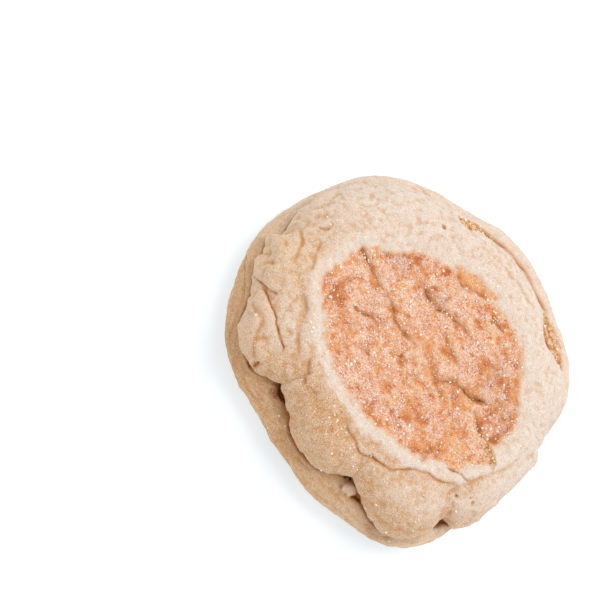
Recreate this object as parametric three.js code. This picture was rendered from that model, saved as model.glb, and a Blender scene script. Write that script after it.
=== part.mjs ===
// English muffin: a flat griddle-baked bread roll, lying on its lower face.
//
// Millimetres, +Z up. The origin is the middle of the flat lower face.
// The muffin is one solid: a broad lower roll, a torn seam that runs all the
// way round at mid height, and a cap with a rounded lip that folds over the
// seam and rises to a flat toasted top.

import * as THREE from "three";
import { mergeVertices } from "three/addons/utils/BufferGeometryUtils.js";

// ---------------------------------------------------------------- dimensions

const ROLL_RADIUS = 46.50;   // mean radius of the lower roll at its widest
const CAP_RADIUS = 42.25;    // mean radius of the cap's lip
const TOAST_RADIUS = 27.21;  // mean radius of the flat toasted top
const ROLL_HEIGHT = 8.5;     // height at which the lower roll is widest, at the front
const SEAM_HEIGHT = 14.7;    // height of the torn seam at the front
const SEAM_DEPTH = 2.0;      // how far the seam runs in behind the cap's lip
const TOP_HEIGHT = 29.0;     // height of the rim of the toasted top
const TOP_CROWN = 0.4;       // how much the middle of the top stands above its rim
const FOOT_INSET = 14.5;     // how far the flat foot stays inside the lower roll

// The outlines are uneven, as hand-shaped dough is. Each entry is one wave
// round the edge: [swell in mm, direction in degrees], for 1, 2, 3 ... lobes.
const ROLL_WAVES = [[0.39, 87], [2.26, 5], [1.32, -111], [1.09, -141], [0.28, 138],
  [0.24, -140], [0.31, -3], [0.53, 77], [0.19, 30]];
const CAP_WAVES = [[1.76, -75], [4.33, 3], [1.15, -84], [0.94, -150], [0.47, 152],
  [0.83, -109], [0.62, 174], [0.83, 67], [0.99, -1], [0.28, -80], [0.31, 144], [0.20, -85], [0.41, -175]];
const TOAST_WAVES = [[3.30, -34], [4.01, 13], [1.17, -87]];
const SEAM_WAVES = [[0.35, 30], [0.45, 110], [0.25, 10], [0.30, 200], [0.30, 60]];

// The seam drops where the cap droops over the lower roll, and climbs at the back.
const DROOP = 1.7, DROOP_AT = 5, DROOP_WIDTH = 24;
const CLIMB = 3.8, CLIMB_AT = 105, CLIMB_WIDTH = 62;

// Folds, tears and swells of the dough. A path runs over the surface through
// [degrees round, station up the profile]; stations count the profile's
// control points from the foot (0) to the middle of the top (17). Depth is
// into the dough, so a negative depth is a swell.
const FOLDS = [
  { path: [[124, 8.6], [107, 8.8]], width: 2.4, depth: 2.4 },              // open tear in the seam, far side
  { path: [[70, 8.6], [51, 8.8]], width: 2.4, depth: 2.4 },                // open tear in the seam, right side
  { path: [[253, 8.6], [262, 8.4]], width: 2.4, depth: 2.4 },              // hole under the left flap
  { path: [[299, 8.8], [306, 8.4]], width: 2.2, depth: 2.2 },              // hole under the front lip
  { path: [[333, 9.2], [338, 9.0]], width: 2.2, depth: 2.2 },              // hole between two lobes of the lip
  { path: [[220, 12.0], [230, 12.8], [239, 13.0], [242, 12.8]], width: 2.6, depth: 1.8 },
  { path: [[209, 14.0], [220, 13.95], [231, 14.2], [242, 14.2], [253, 13.7], [265, 13.5], [279, 13.75]], width: 2.8, depth: 0.9 },
  { path: [[247, 13.8], [255, 13.0], [258, 12.7]], width: 2.4, depth: 0.9 },
  { path: [[187, 13.1], [199, 13.7], [208, 13.9]], width: 2.4, depth: 0.7 },
  { path: [[284, 13.7], [294, 13.5], [298, 13.0], [299, 12.1], [300, 11.4]], width: 2.6, depth: 1.3 },
  { path: [[297, 13.2], [312, 14.0], [325, 14.8], [337, 14.2]], width: 2.6, depth: 1.3 },
  { path: [[339, 15.0], [347, 14.0]], width: 2.2, depth: 0.8 },
  { path: [[358, 15.1], [356, 14.2]], width: 2.2, depth: 0.9 },
  { path: [[252, 12.2], [254, 11.2]], width: 2.6, depth: 1.4 },            // nick between two lobes of the lip
  { path: [[19, 12.6], [21, 11.0]], width: 2.6, depth: 1.6 },              // nick between two lobes of the lip
  { path: [[66, 13.2], [84, 13.6]], width: 2.8, depth: 0.6 },
  { path: [[140, 13.1], [134, 13.4]], width: 2.4, depth: 0.9 },
  { path: [[266, 12.4], [275, 12.5], [288, 12.5]], width: 7.0, depth: -1.4 }, // swollen lobes of the cap
  { path: [[309, 12.5], [326, 12.9]], width: 7.5, depth: -1.2 },
  { path: [[200, 12.5], [212, 12.7]], width: 6.0, depth: -0.8 },
  { path: [[234, 12.3], [240, 12.4]], width: 4.5, depth: -0.8 },
  { path: [[345, 12.6], [4, 12.7]], width: 7.5, depth: -0.6 },
];

// Raised floury rim round the toasted top.
const RIM_HEIGHT = 0.8, RIM_WIDTH = 2.6, RIM_OUTSIDE = 2.6;

// ------------------------------------------------------------- mesh fineness

const AROUND = 128;          // divisions round the muffin
const STEPS = [1, 1, 2, 2, 2, 2, 2, 2, 2, 2, 2, 3, 3, 3, 2, 4, 3]; // divisions between control points

// ------------------------------------------------------------------ functions

const radians = (degrees) => degrees * Math.PI / 180;

const waves = (mean, list, degrees) => list.reduce(
  (sum, [swell, direction], i) => sum + swell * Math.cos(radians((i + 1) * degrees - direction)), mean);

const bell = (degrees, at, width) => {
  const d = ((degrees - at + 180) % 360 + 360) % 360 - 180;
  return Math.exp(-((d / width) ** 2));
};

// Control points [radius, height] of the profile at one direction, foot to top.
function controls(degrees) {
  const roll = waves(ROLL_RADIUS, ROLL_WAVES, degrees);
  const lip = Math.min(waves(CAP_RADIUS, CAP_WAVES, degrees), roll - 0.6);
  const toast = waves(TOAST_RADIUS, TOAST_WAVES, degrees);
  const seam = waves(SEAM_HEIGHT, SEAM_WAVES, degrees)
    - DROOP * bell(degrees, DROOP_AT, DROOP_WIDTH) + CLIMB * bell(degrees, CLIMB_AT, CLIMB_WIDTH);
  const rise = TOP_HEIGHT - seam;
  const overhang = roll - lip;
  const slope = lip - toast;
  const widest = ROLL_HEIGHT + 0.35 * (seam - SEAM_HEIGHT);
  return [
    [0, 0],
    [roll - FOOT_INSET, 0],
    [roll - 8.2, 0.6],
    [roll - 3.3, 2.8],
    [roll - 0.7, 5.8],
    [roll, widest],
    [roll - 0.12 * overhang - 0.5, THREE.MathUtils.lerp(widest, seam, 0.42)],
    [roll - 0.45 * overhang - 0.7, THREE.MathUtils.lerp(widest, seam, 0.78)],
    [Math.min(lip + 0.4, roll - 1.6), seam - 0.25],
    [lip - SEAM_DEPTH, seam + 0.15],
    [lip - 0.8, seam + 0.9],
    [lip, seam + 2.4],
    [lip - 0.105 * slope, seam + 0.50 * rise],
    [lip - 0.42 * slope, seam + 0.82 * rise],
    [lip - 0.74 * slope, seam + 0.965 * rise],
    [toast, TOP_HEIGHT],
    [0.5 * toast, TOP_HEIGHT + 0.75 * TOP_CROWN],
    [0, TOP_HEIGHT + TOP_CROWN],
  ];
}

// Smooth curve through the control points, as a function of the station.
// The slope at each point weighs its two neighbours by their distances.
function profile(degrees) {
  const p = controls(degrees);
  const last = p.length - 1;
  const span = [];
  for (let k = 0; k < last; k++) span.push(Math.hypot(p[k + 1][0] - p[k][0], p[k + 1][1] - p[k][1]) + 1e-6);
  const slope = p.map((_, k) => [0, 1].map((c) => {
    const before = k > 0 ? (p[k][c] - p[k - 1][c]) / span[k - 1] : null;
    const after = k < last ? (p[k + 1][c] - p[k][c]) / span[k] : null;
    if (before === null) return after;
    if (after === null) return before;
    return (before * span[k] + after * span[k - 1]) / (span[k - 1] + span[k]);
  }));
  slope[1] = [1, 0];                                     // the foot is flat out to its edge
  return (station) => {
    const k = Math.min(Math.floor(station), last - 1);
    const t = station - k, h = span[k];
    return [0, 1].map((c) => (2 * t ** 3 - 3 * t ** 2 + 1) * p[k][c] + (t ** 3 - 2 * t ** 2 + t) * h * slope[k][c]
      + (3 * t ** 2 - 2 * t ** 3) * p[k + 1][c] + (t ** 3 - t ** 2) * h * slope[k + 1][c]);
  };
}

const place = (degrees, [r, z]) => new THREE.Vector3(r * Math.cos(radians(degrees)), r * Math.sin(radians(degrees)), z);

// Points along a fold's path, about every millimetre and a half.
function trail(path) {
  const points = [];
  for (let k = 0; k + 1 < path.length; k++) {
    const turn = ((path[k + 1][0] - path[k][0] + 540) % 360) - 180;      // the short way round
    for (let i = 0; i <= 12; i++) {
      const degrees = path[k][0] + turn * i / 12;
      points.push(place(degrees, profile(degrees)(THREE.MathUtils.lerp(path[k][1], path[k + 1][1], i / 12))));
    }
  }
  return points;
}

const folds = FOLDS.map((fold) => ({ ...fold, points: trail(fold.path) }));

// How far the surface moves out along its normal at one point. Swells fade
// out towards the lip, so that its underside stays clear of the lower roll.
function relief(point, station, radius, toast) {
  let out = 0;
  for (const { points, width, depth } of folds) {
    let nearest = Infinity;
    for (const q of points) nearest = Math.min(nearest, q.distanceToSquared(point));
    const fade = depth < 0 ? THREE.MathUtils.smoothstep(station, 10.4, 12.2) : 1;
    out -= fade * depth * Math.exp(-nearest / (width * width));
  }
  if (point.z > TOP_HEIGHT - 4) out += RIM_HEIGHT * Math.exp(-(((radius - toast - RIM_OUTSIDE) / RIM_WIDTH) ** 2));
  return out;
}

// ---------------------------------------------------------------- the muffin

// Stations of the rings, from the middle of the foot to the middle of the top.
const stations = STEPS.flatMap((count, k) => Array.from({ length: count }, (_, i) => k + i / count));
stations.push(STEPS.length);

// The blank is a spindle turned on a lathe. Its height numbers the rings.
const rings = stations.length - 1;
const blank = new THREE.LatheGeometry(
  stations.map((_, i) => new THREE.Vector2(i % rings === 0 ? 0 : 10 * Math.sin(Math.PI * i / rings), i)), AROUND);
blank.deleteAttribute("normal");
blank.deleteAttribute("uv");
const geometry = mergeVertices(blank, 1e-4);

// Each vertex of the blank moves to its place on the muffin.
const profiles = new Map();
const position = geometry.attributes.position;
for (let i = 0; i < position.count; i++) {
  const turn = Math.round(Math.atan2(position.getX(i), position.getZ(i)) * AROUND / (2 * Math.PI));
  const degrees = ((turn % AROUND) + AROUND) % AROUND * 360 / AROUND;
  if (!profiles.has(degrees)) profiles.set(degrees, profile(degrees));
  const curve = profiles.get(degrees);
  const station = stations[Math.round(position.getY(i))];
  const [r, z] = curve(station);
  const point = place(degrees, [r, Math.max(z, 0)]);
  if (station > 2) {
    const [r0, z0] = curve(Math.max(station - 0.02, 0));
    const [r1, z1] = curve(Math.min(station + 0.02, STEPS.length));
    const length = Math.hypot(r1 - r0, z1 - z0);
    const out = relief(point, station, r, waves(TOAST_RADIUS, TOAST_WAVES, degrees));
    point.add(place(degrees, [(z1 - z0) / length, (r0 - r1) / length]).multiplyScalar(r < 1e-6 ? 0 : out));
  }
  position.setXYZ(i, point.x, point.y, point.z);
}

// The origin goes to the middle of the outline.
geometry.computeBoundingBox();
const middle = geometry.boundingBox.getCenter(new THREE.Vector3());
geometry.translate(-middle.x, -middle.y, 0);
geometry.computeVertexNormals();

const muffin = new THREE.Mesh(geometry, new THREE.MeshStandardMaterial({
  color: new THREE.Color(0xdcb894),
  roughness: 0.85,
  metalness: 0,
}));
muffin.name = "muffin";

const group = new THREE.Group();
group.name = "english_muffin";
group.add(muffin);

export default group;
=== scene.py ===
import bpy, math
import numpy as np
from mathutils import Matrix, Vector
from mathutils.bvhtree import BVHTree


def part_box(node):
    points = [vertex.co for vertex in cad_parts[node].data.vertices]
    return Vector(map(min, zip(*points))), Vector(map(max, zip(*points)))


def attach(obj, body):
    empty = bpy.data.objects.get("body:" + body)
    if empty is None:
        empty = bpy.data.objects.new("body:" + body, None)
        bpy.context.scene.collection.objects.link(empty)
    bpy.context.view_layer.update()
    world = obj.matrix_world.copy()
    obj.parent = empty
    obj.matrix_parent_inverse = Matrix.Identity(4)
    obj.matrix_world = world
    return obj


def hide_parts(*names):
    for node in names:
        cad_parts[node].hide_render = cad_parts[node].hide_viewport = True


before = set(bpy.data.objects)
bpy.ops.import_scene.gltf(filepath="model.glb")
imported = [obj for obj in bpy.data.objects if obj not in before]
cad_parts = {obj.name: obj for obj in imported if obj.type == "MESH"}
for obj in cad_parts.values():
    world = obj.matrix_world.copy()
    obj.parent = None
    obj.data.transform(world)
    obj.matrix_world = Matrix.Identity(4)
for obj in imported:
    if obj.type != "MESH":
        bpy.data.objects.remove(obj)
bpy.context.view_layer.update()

# =====================================================================
# Everything below is worked out in millimetres round the muffin's axis
# and scaled to metres when the meshes are made.
# =====================================================================

MM = 0.001

# ---- outlines: mean radius and waves (swell in mm, direction in degrees), as in the CAD
ROLL = (46.50, [(0.39, 87), (2.26, 5), (1.32, -111), (1.09, -141), (0.28, 138), (0.24, -140), (0.31, -3), (0.53, 77), (0.19, 30)])
CAP = (42.25, [(1.76, -75), (4.33, 3), (1.15, -84), (0.94, -150), (0.47, 152), (0.83, -109), (0.62, 174), (0.83, 67),
               (0.99, -1), (0.28, -80), (0.31, 144), (0.20, -85), (0.41, -175)])
TOAST = (27.21, [(3.30, -34), (4.01, 13), (1.17, -87)])
SEAM = (14.7, [(0.35, 30), (0.45, 110), (0.25, 10), (0.30, 200), (0.30, 60)])
TOP_Z, CROWN = 29.0, 0.4
GAPE = (0.42, [(0.10, 40), (0.12, 200), (0.24, 50), (0.10, 80), (0.16, 150), (0.10, 20), (0.22, -10), (0.0, 0), (0.16, 100)])   # how far the seam stands open, 0 to 1

# finer lobes of the lip: (direction, half width in degrees, swell in mm)
LIP_LOBES = [(234, 3.0, 0.9), (246.5, 3.2, 1.6), (253.6, 1.5, -1.6), (19.4, 1.3, -1.5), (16.2, 1.6, 0.5), (25, 4.0, -0.6), (41, 3.0, 0.5),
             (47, 2.5, -0.6), (61, 9.0, -2.1), (94, 3.0, -0.5), (108, 6.0, -1.0), (131, 2.2, -0.8), (138, 4.0, 0.6), (158, 2.5, -0.6), (167, 4.0, 0.5)]
# corners of the flaps and lobes along the lip: (direction, mm outwards), straight between
LIP_CORNERS = [(182, 0), (186, 0.35), (188.5, 0.5), (191.2, -0.05), (193.2, -0.7), (195.0, -1.1), (197.6, -0.8), (199.0, 0.2), (200.3, 1.35), (201.6, 0.85),
               (203.9, -0.1), (206.8, -0.9), (207.8, -0.2), (209.4, 0.65), (212, 0.5), (215.7, 0.45), (218.8, 0.15), (224, 0), (231, -0.3), (238, 0),
               (262.6, 0.9), (267.5, 0), (271.7, 0.45), (274.8, 0.05), (278.5, -0.3), (281.8, -0.4), (285.6, -0.2), (288.7, 0.1), (291.8, 0.1),
               (294.8, -0.45), (298.1, -1.2), (300.4, -2.2), (301.4, -2.8), (302.4, -1.3), (304.7, -0.1), (306.6, 0.2), (308.6, 0.65), (310.4, 1.1),
               (312.3, 1.4), (317, 1.5), (320.5, 0.75), (324, 0.3), (327.5, 0.1), (330.4, -0.3), (333.0, -1.2), (335.2, -2.4), (336.8, -3.9),
               (338.2, -3.7), (339.4, -1.4), (340.8, 0.6), (342.5, 0.75), (346, 0.85), (349, 0.8), (353, 0.25), (358, -0.15), (362, -0.25), (368, -0.1), (372, 0)]
ROLL_LOBES = [(296, 9, 1.25), (331, 13, 0.85), (344, 3, -0.75), (5, 6, -0.7), (25, 5, -0.9), (43, 4, 0.3), (79, 5, 0.4), (107, 5, 0.45)]
# edge of the toasted colour
TOAST_EDGE = (26.91, [(2.75, -37), (3.59, 22), (1.07, -78), (0.58, 47), (0.42, -92), (0.06, 140), (0.27, 19), (0.29, 123), (0.20, 159),
                      (0.23, -30), (0.22, 163), (0.10, -63), (0.27, -159), (0.07, 26)])


def waves(spec, deg):
    mean, terms = spec
    out = np.full_like(deg, float(mean))
    for n, (amp, ph) in enumerate(terms, 1):
        out += amp * np.cos(np.radians(n * deg - ph))
    return out


def bell(deg, at, width):
    return np.exp(-(((deg - at + 180) % 360 - 180) / width) ** 2)


def lobes(specs, deg):
    out = np.zeros_like(deg)
    for at, width, swell in specs:
        out += swell * bell(deg, at, width)
    return out


def corners(deg):
    at, out = np.array(LIP_CORNERS, float).T
    return np.interp(np.where(deg < 100, deg + 360, deg), at, out, left=0.0, right=0.0)


def outline(deg):
    roll = waves(ROLL, deg) + lobes(ROLL_LOBES, deg)
    lip = np.minimum(waves(CAP, deg) + lobes(LIP_LOBES, deg) + corners(deg), roll - 0.6 + 1.6 * bell(deg, 346, 9))
    toast = waves(TOAST, deg)
    seam = waves(SEAM, deg) - 1.7 * bell(deg, 5, 24) + 3.8 * bell(deg, 105, 62)
    return roll, lip, toast, seam


def controls(deg):
    roll, lip, toast, seam = outline(deg)
    one = np.ones_like(deg)
    rise = TOP_Z - seam
    hang = roll - lip
    broad = np.minimum(waves(CAP, deg) + 0.3 * (lip - waves(CAP, deg)), roll - 0.6)   # the notches of the lip fade up the cap's shoulder
    slope = broad - toast
    nip = lip - broad
    wide = 8.5 + 0.35 * (seam - 14.7)
    gape = np.clip(waves(GAPE, deg), 0.0, 1.0)
    depth = 1.2 + 1.8 * gape
    r = [0 * one, roll - 14.5, roll - 8.2, roll - 3.3, roll - 0.7, roll, roll - 0.12 * hang - 0.5, roll - 0.45 * hang - 0.7,
         np.minimum(lip + 0.4, roll - 1.6), lip - depth, lip - 0.7, lip, broad + 0.32 * nip - 0.105 * slope, broad + 0.08 * nip - 0.42 * slope, broad - 0.74 * slope,
         toast, 0.5 * toast, 0 * one]
    z = [0 * one, 0 * one, 0.6 * one, 2.8 * one, 5.8 * one, wide, wide + 0.42 * (seam - wide), wide + 0.78 * (seam - wide), seam - 0.05 - 0.3 * gape,
         seam + 0.15, seam + 0.35 + 0.6 * gape, seam + 2.0 + 0.4 * gape, seam + 0.5 * rise, seam + 0.82 * rise, seam + 0.965 * rise, TOP_Z * one,
         (TOP_Z + 0.75 * CROWN) * one, (TOP_Z + CROWN) * one]
    return np.stack(r, -1), np.stack(z, -1)


def surface(deg, station):
    """Points on the smooth muffin; deg and station are arrays of the same length."""
    deg = np.asarray(deg, float)
    station = np.asarray(station, float)
    r, z = controls(deg)
    h = np.hypot(np.diff(r, axis=1), np.diff(z, axis=1)) + 1e-6
    k = np.clip(station.astype(int), 0, r.shape[1] - 2)
    t = station - k
    rows = np.arange(len(deg))
    out = []
    for c, a in enumerate((r, z)):
        d = np.diff(a, axis=1) / h
        m = np.empty_like(a)
        m[:, 1:-1] = (d[:, :-1] * h[:, 1:] + d[:, 1:] * h[:, :-1]) / (h[:, :-1] + h[:, 1:])
        m[:, 0], m[:, -1] = d[:, 0], d[:, -1]
        m[:, 1] = (1.0, 0.0)[c]
        hk = h[rows, k]
        out.append((2 * t**3 - 3 * t**2 + 1) * a[rows, k] + (t**3 - 2 * t**2 + t) * hk * m[rows, k]
                   + (3 * t**2 - 2 * t**3) * a[rows, k + 1] + (t**3 - t**2) * hk * m[rows, k + 1])
    rr, zz = out
    return np.stack([rr * np.cos(np.radians(deg)), rr * np.sin(np.radians(deg)), np.maximum(zz, 0.0)], -1)


# ---- the muffin's axis in the CAD frame
_d = np.repeat(np.arange(0, 360, 360 / 128), 3)
_p = surface(_d, np.tile([5.0, 8.0, 11.0], 128))
_lo, _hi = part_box("muffin")
SHIFT = np.array([(_lo[0] + _hi[0]) / 2 / MM - (_p[:, 0].max() + _p[:, 0].min()) / 2,
                  (_lo[1] + _hi[1]) / 2 / MM - (_p[:, 1].max() + _p[:, 1].min()) / 2, 0.0])

# =====================================================================
# noise
# =====================================================================


def _hash(ix, iy, iz, seed):
    h = (ix.astype(np.uint32) * np.uint32(374761393) + iy.astype(np.uint32) * np.uint32(668265263)
         + iz.astype(np.uint32) * np.uint32(2147483647 - 1442695040 % 1000003) + np.uint32(seed * 974634777 % 4294967291))
    h = (h ^ (h >> np.uint32(13))) * np.uint32(1274126177)
    h = (h ^ (h >> np.uint32(16))) * np.uint32(2246822519)
    return h ^ (h >> np.uint32(15))


_g = np.random.default_rng(5).normal(size=(256, 3))
_g /= np.linalg.norm(_g, axis=1)[:, None]


def noise(p, seed=0):
    """Gradient noise, about -1 to 1."""
    with np.errstate(over="ignore"):
        i = np.floor(p).astype(np.int64)
        f = p - i
        w = f * f * f * (f * (f * 6 - 15) + 10)
        out = np.zeros(len(p))
        for a in (0, 1):
            for b in (0, 1):
                for c in (0, 1):
                    g = _g[_hash(i[:, 0] + a, i[:, 1] + b, i[:, 2] + c, seed) & np.uint32(255)]
                    dot = g[:, 0] * (f[:, 0] - a) + g[:, 1] * (f[:, 1] - b) + g[:, 2] * (f[:, 2] - c)
                    out += dot * np.where(a, w[:, 0], 1 - w[:, 0]) * np.where(b, w[:, 1], 1 - w[:, 1]) * np.where(c, w[:, 2], 1 - w[:, 2])
    return out * 1.6


def fbm(p, size, octaves=3, seed=0, gain=0.5):
    out = np.zeros(len(p))
    amp, tot = 1.0, 0.0
    for o in range(octaves):
        out += amp * noise(p / size * 2.0**o, seed + 17 * o)
        tot += amp
        amp *= gain
    return out / tot


def ridged(p, size, octaves=3, seed=0):
    out = np.zeros(len(p))
    amp, tot = 1.0, 0.0
    for o in range(octaves):
        out += amp * (1 - np.abs(noise(p / size * 2.0**o, seed + 29 * o)) * 2)
        tot += amp
        amp *= 0.5
    return out / tot


def smooth(x, lo, hi):
    t = np.clip((x - lo) / (hi - lo), 0, 1)
    return t * t * (3 - 2 * t)


# =====================================================================
# the grid: rings of vertices from the middle of the foot to the middle of the top
# =====================================================================

EDGE = 0.40                      # spacing over what shows, mm
SEG_EDGE = [1.3, 1.1, 0.75, 0.55, 0.45, 0.42, EDGE, EDGE, EDGE, EDGE, EDGE, EDGE, EDGE, EDGE, EDGE, EDGE, EDGE]


def make_grid():
    deg = np.arange(0, 360, 6.0)
    n_ctrl = 18
    cr, cz = controls(deg)
    seg = np.hypot(np.diff(cr, axis=1), np.diff(cz, axis=1)).mean(0)
    stations, edges = [], []
    for k in range(n_ctrl - 1):
        n = max(1, int(round(seg[k] * 1.03 / SEG_EDGE[k])))
        for i in range(n):
            stations.append(k + i / n)
            edges.append(SEG_EDGE[k])
    stations.append(float(n_ctrl - 1))
    edges.append(EDGE)
    full = int(round(2 * math.pi * 44.0 / EDGE))
    D, S, start, counts = [], [], [], []
    at = 0
    for s, e in zip(stations, edges):
        dd = np.arange(0, 360, 30.0)
        q = surface(dd, np.full(len(dd), s))
        rad = np.hypot(q[:, 0], q[:, 1]).mean()
        if rad < 0.05:
            n = 1
        elif 4.0 <= s <= 13.9:
            n = full
        elif s > 13.9:
            n = max(8, min(full, int(round(2 * math.pi * rad / e * (1.0 + 0.45 * max(0.0, 15.0 - s))))))
        else:
            n = max(8, int(round(2 * math.pi * rad / e)))
        off = 0.5 * (len(counts) % 2)
        D.append((np.arange(n) + off) * 360 / n)
        S.append(np.full(n, s))
        start.append(at)
        counts.append(n)
        at += n
    tris = []
    for j in range(len(counts) - 1):
        a0, na, b0, nb = start[j], counts[j], start[j + 1], counts[j + 1]
        if na == 1:
            i = np.arange(nb)
            tris.append(np.stack([np.full(nb, a0), b0 + (i + 1) % nb, b0 + i], -1))
            continue
        if nb == 1:
            i = np.arange(na)
            tris.append(np.stack([a0 + i, a0 + (i + 1) % na, np.full(na, b0)], -1))
            continue
        da, db = D[j], D[j + 1]
        i = k = 0
        out = []
        # walk round both rings, always closing the shorter diagonal
        while i < na or k < nb:
            ai = da[i % na] + 360 * (i // na)
            bi = db[k % nb] + 360 * (k // nb)
            an = da[(i + 1) % na] + 360 * ((i + 1) // na)
            bn = db[(k + 1) % nb] + 360 * ((k + 1) // nb)
            if k >= nb or (i < na and abs(an - bi) <= abs(bn - ai)):
                out.append((a0 + i % na, a0 + (i + 1) % na, b0 + k % nb))
                i += 1
            else:
                out.append((a0 + i % na, b0 + (k + 1) % nb, b0 + k % nb))
                k += 1
        tris.append(np.array(out))
    return np.concatenate(D) % 360, np.concatenate(S), np.concatenate(tris)


DEG, STA, TRI = make_grid()
P = surface(DEG, STA)


def normals(p, tri):
    a, b, c = p[tri[:, 0]], p[tri[:, 1]], p[tri[:, 2]]
    f = np.cross(b - a, c - a)
    n = np.zeros_like(p)
    for k in range(3):
        for x in range(3):
            n[:, x] += np.bincount(tri[:, k], weights=f[:, x], minlength=len(p))
    return n / (np.linalg.norm(n, axis=1)[:, None] + 1e-12)


N = normals(P, TRI)
N0 = N.copy()
CAVITY = np.zeros(len(P))        # how deep in a fold or hole a point lies, for the painted shade in its colour
TEAR = np.zeros(len(P))          # open crumb

# =====================================================================
# folds, holes, swells
# =====================================================================


def path_points(path, step=0.7):
    """A smooth run of points over the smooth muffin through (degrees, station) marks."""
    m = np.array(path, float)
    if len(m) == 1:
        return surface(m[:, 0], m[:, 1])
    m[:, 0] = np.degrees(np.unwrap(np.radians(m[:, 0])))
    ext = np.vstack([2 * m[0] - m[1], m, 2 * m[-1] - m[-2]])
    out = []
    for k in range(1, len(ext) - 2):
        p0, p1, p2, p3 = ext[k - 1:k + 3]
        for t in np.linspace(0, 1, 10, endpoint=False):
            out.append(0.5 * (2 * p1 + (p2 - p0) * t + (2 * p0 - 5 * p1 + 4 * p2 - p3) * t**2 + (3 * p1 - p0 - 3 * p2 + p3) * t**3))
    out.append(m[-1])
    out = np.array(out)
    q = surface(out[:, 0] % 360, np.clip(out[:, 1], 0, 17))
    d = np.concatenate([[0], np.cumsum(np.linalg.norm(np.diff(q, axis=0), axis=1))])
    n = max(2, int(d[-1] / step) + 1)
    at = np.linspace(0, d[-1], n)
    return np.stack([np.interp(at, d, q[:, c]) for c in range(3)], -1)


P0 = P.copy()                    # distances are measured on the smooth muffin


def near(points, reach):
    lo, hi = points.min(0) - reach, points.max(0) + reach
    return np.nonzero(((P0 >= lo) & (P0 <= hi)).all(1))[0]


def along(points, idx, nrm):
    """Signed distance from the run, way along it and sideways direction, for the vertices idx."""
    q = P0[idx]
    best = np.full(len(idx), 1e9)
    tpos = np.zeros(len(idx))
    side = np.zeros((len(idx), 3))
    if len(points) == 1:
        d = q - points[0]
        return np.linalg.norm(d, axis=1), np.full(len(idx), 0.5), d
    total = len(points) - 1
    for k in range(total):
        a, b = points[k], points[k + 1]
        ab = b - a
        L2 = ab @ ab + 1e-12
        t = np.clip(((q - a) @ ab) / L2, 0, 1)
        c = a + t[:, None] * ab
        d = np.linalg.norm(q - c, axis=1)
        m = d < best
        if m.any():
            best[m] = d[m]
            tpos[m] = (k + t[m]) / total
            side[m] = np.cross(nrm[idx[m]], ab / math.sqrt(L2))
    # side points to the left of the travel, seen from outside
    foot = points[np.clip(np.round(tpos * total).astype(int), 0, total)]
    sign = np.sign(((q - foot) * side).sum(1))
    sign[sign == 0] = 1
    return best * sign, tpos, side


def fold(path, width, depth, over=0, lift=0.0, push=0.0, soft=False, ends=0.18, dark=1.0, wander=0.0, seed=0, tear=0.0):
    """A crease. over = 1 lets the dough on its left lap over it, -1 the dough on its right."""
    global P, CAVITY, TEAR
    pts = path_points(path)
    if wander and len(pts) > 2:
        pts = pts + wander * np.stack([noise(pts / 2.2 + 31.7 * c, 400 + seed) for c in range(3)], -1)
    reach = width * 5 + 1.0
    idx = near(pts, reach)
    if not len(idx):
        return
    u, t, side = along(pts, idx, N0)
    keep = np.abs(u) < reach
    idx, u, t, side = idx[keep], u[keep], t[keep], side[keep]
    tap = smooth(np.minimum(t, 1 - t), -0.02, ends)
    a = np.abs(u)
    if wander:
        tap = tap * (0.75 + 0.5 * noise(P0[idx] / 3.1, 77 + seed))
    valley = np.exp(-(a / width) ** 2) if soft else np.exp(-((a / width) ** 1.15))
    out = -depth * valley
    if over:
        x = np.maximum(u * over, 0) / (1.8 * width)
        out += lift * x * np.exp(1 - x)
        back = np.maximum(-u * over, 0) / (1.2 * width)
        out -= 0.35 * lift * back * np.exp(1 - back) * (back > 0)
        P[idx] -= side * (over * push * tap * np.where(u * over > 0, np.exp(-x), 0))[:, None]
    elif lift:
        x = a / (2.0 * width)
        out += lift * x**2 * np.exp(1 - x**2)
    P[idx] += N0[idx] * (out * tap)[:, None]
    CAVITY[idx] = np.maximum(CAVITY[idx], dark * min(1.0, depth / 0.9) * tap * np.exp(-((a / (width * 0.9)) ** 1.3)))
    if tear:
        TEAR[idx] = np.maximum(TEAR[idx], tear * tap * np.exp(-((a / width) ** 2)))


def dent(at, radius, depth, stretch=1.0, dark=1.0, tear=0.0, inward=None):
    """A hole or a swell round one mark; stretch widens it along the edge of the muffin."""
    global P, CAVITY, TEAR
    c = surface(np.array([at[0]]), np.array([at[1]]))[0]
    idx = near(c[None], radius * 3 * max(1, stretch))
    d = P0[idx] - c
    a = math.radians(at[0])
    tang = np.array([-math.sin(a), math.cos(a), 0])
    dt = d @ tang
    rest = d - dt[:, None] * tang
    rho = np.sqrt((dt / stretch) ** 2 + (rest**2).sum(1)) / radius
    rho = rho * (1 + 0.25 * noise(P0[idx] / (radius * 0.9), int(at[0]) + 3))
    f = np.exp(-(np.abs(rho) ** 2.4))
    way = N0[idx] if inward is None else np.broadcast_to(np.array(inward(a)), (len(idx), 3)) * -1.0
    P[idx] -= way * (depth * f)[:, None]
    if depth > 0:
        CAVITY[idx] = np.maximum(CAVITY[idx], dark * f)
    if tear:
        TEAR[idx] = np.maximum(TEAR[idx], tear * f)


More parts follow.
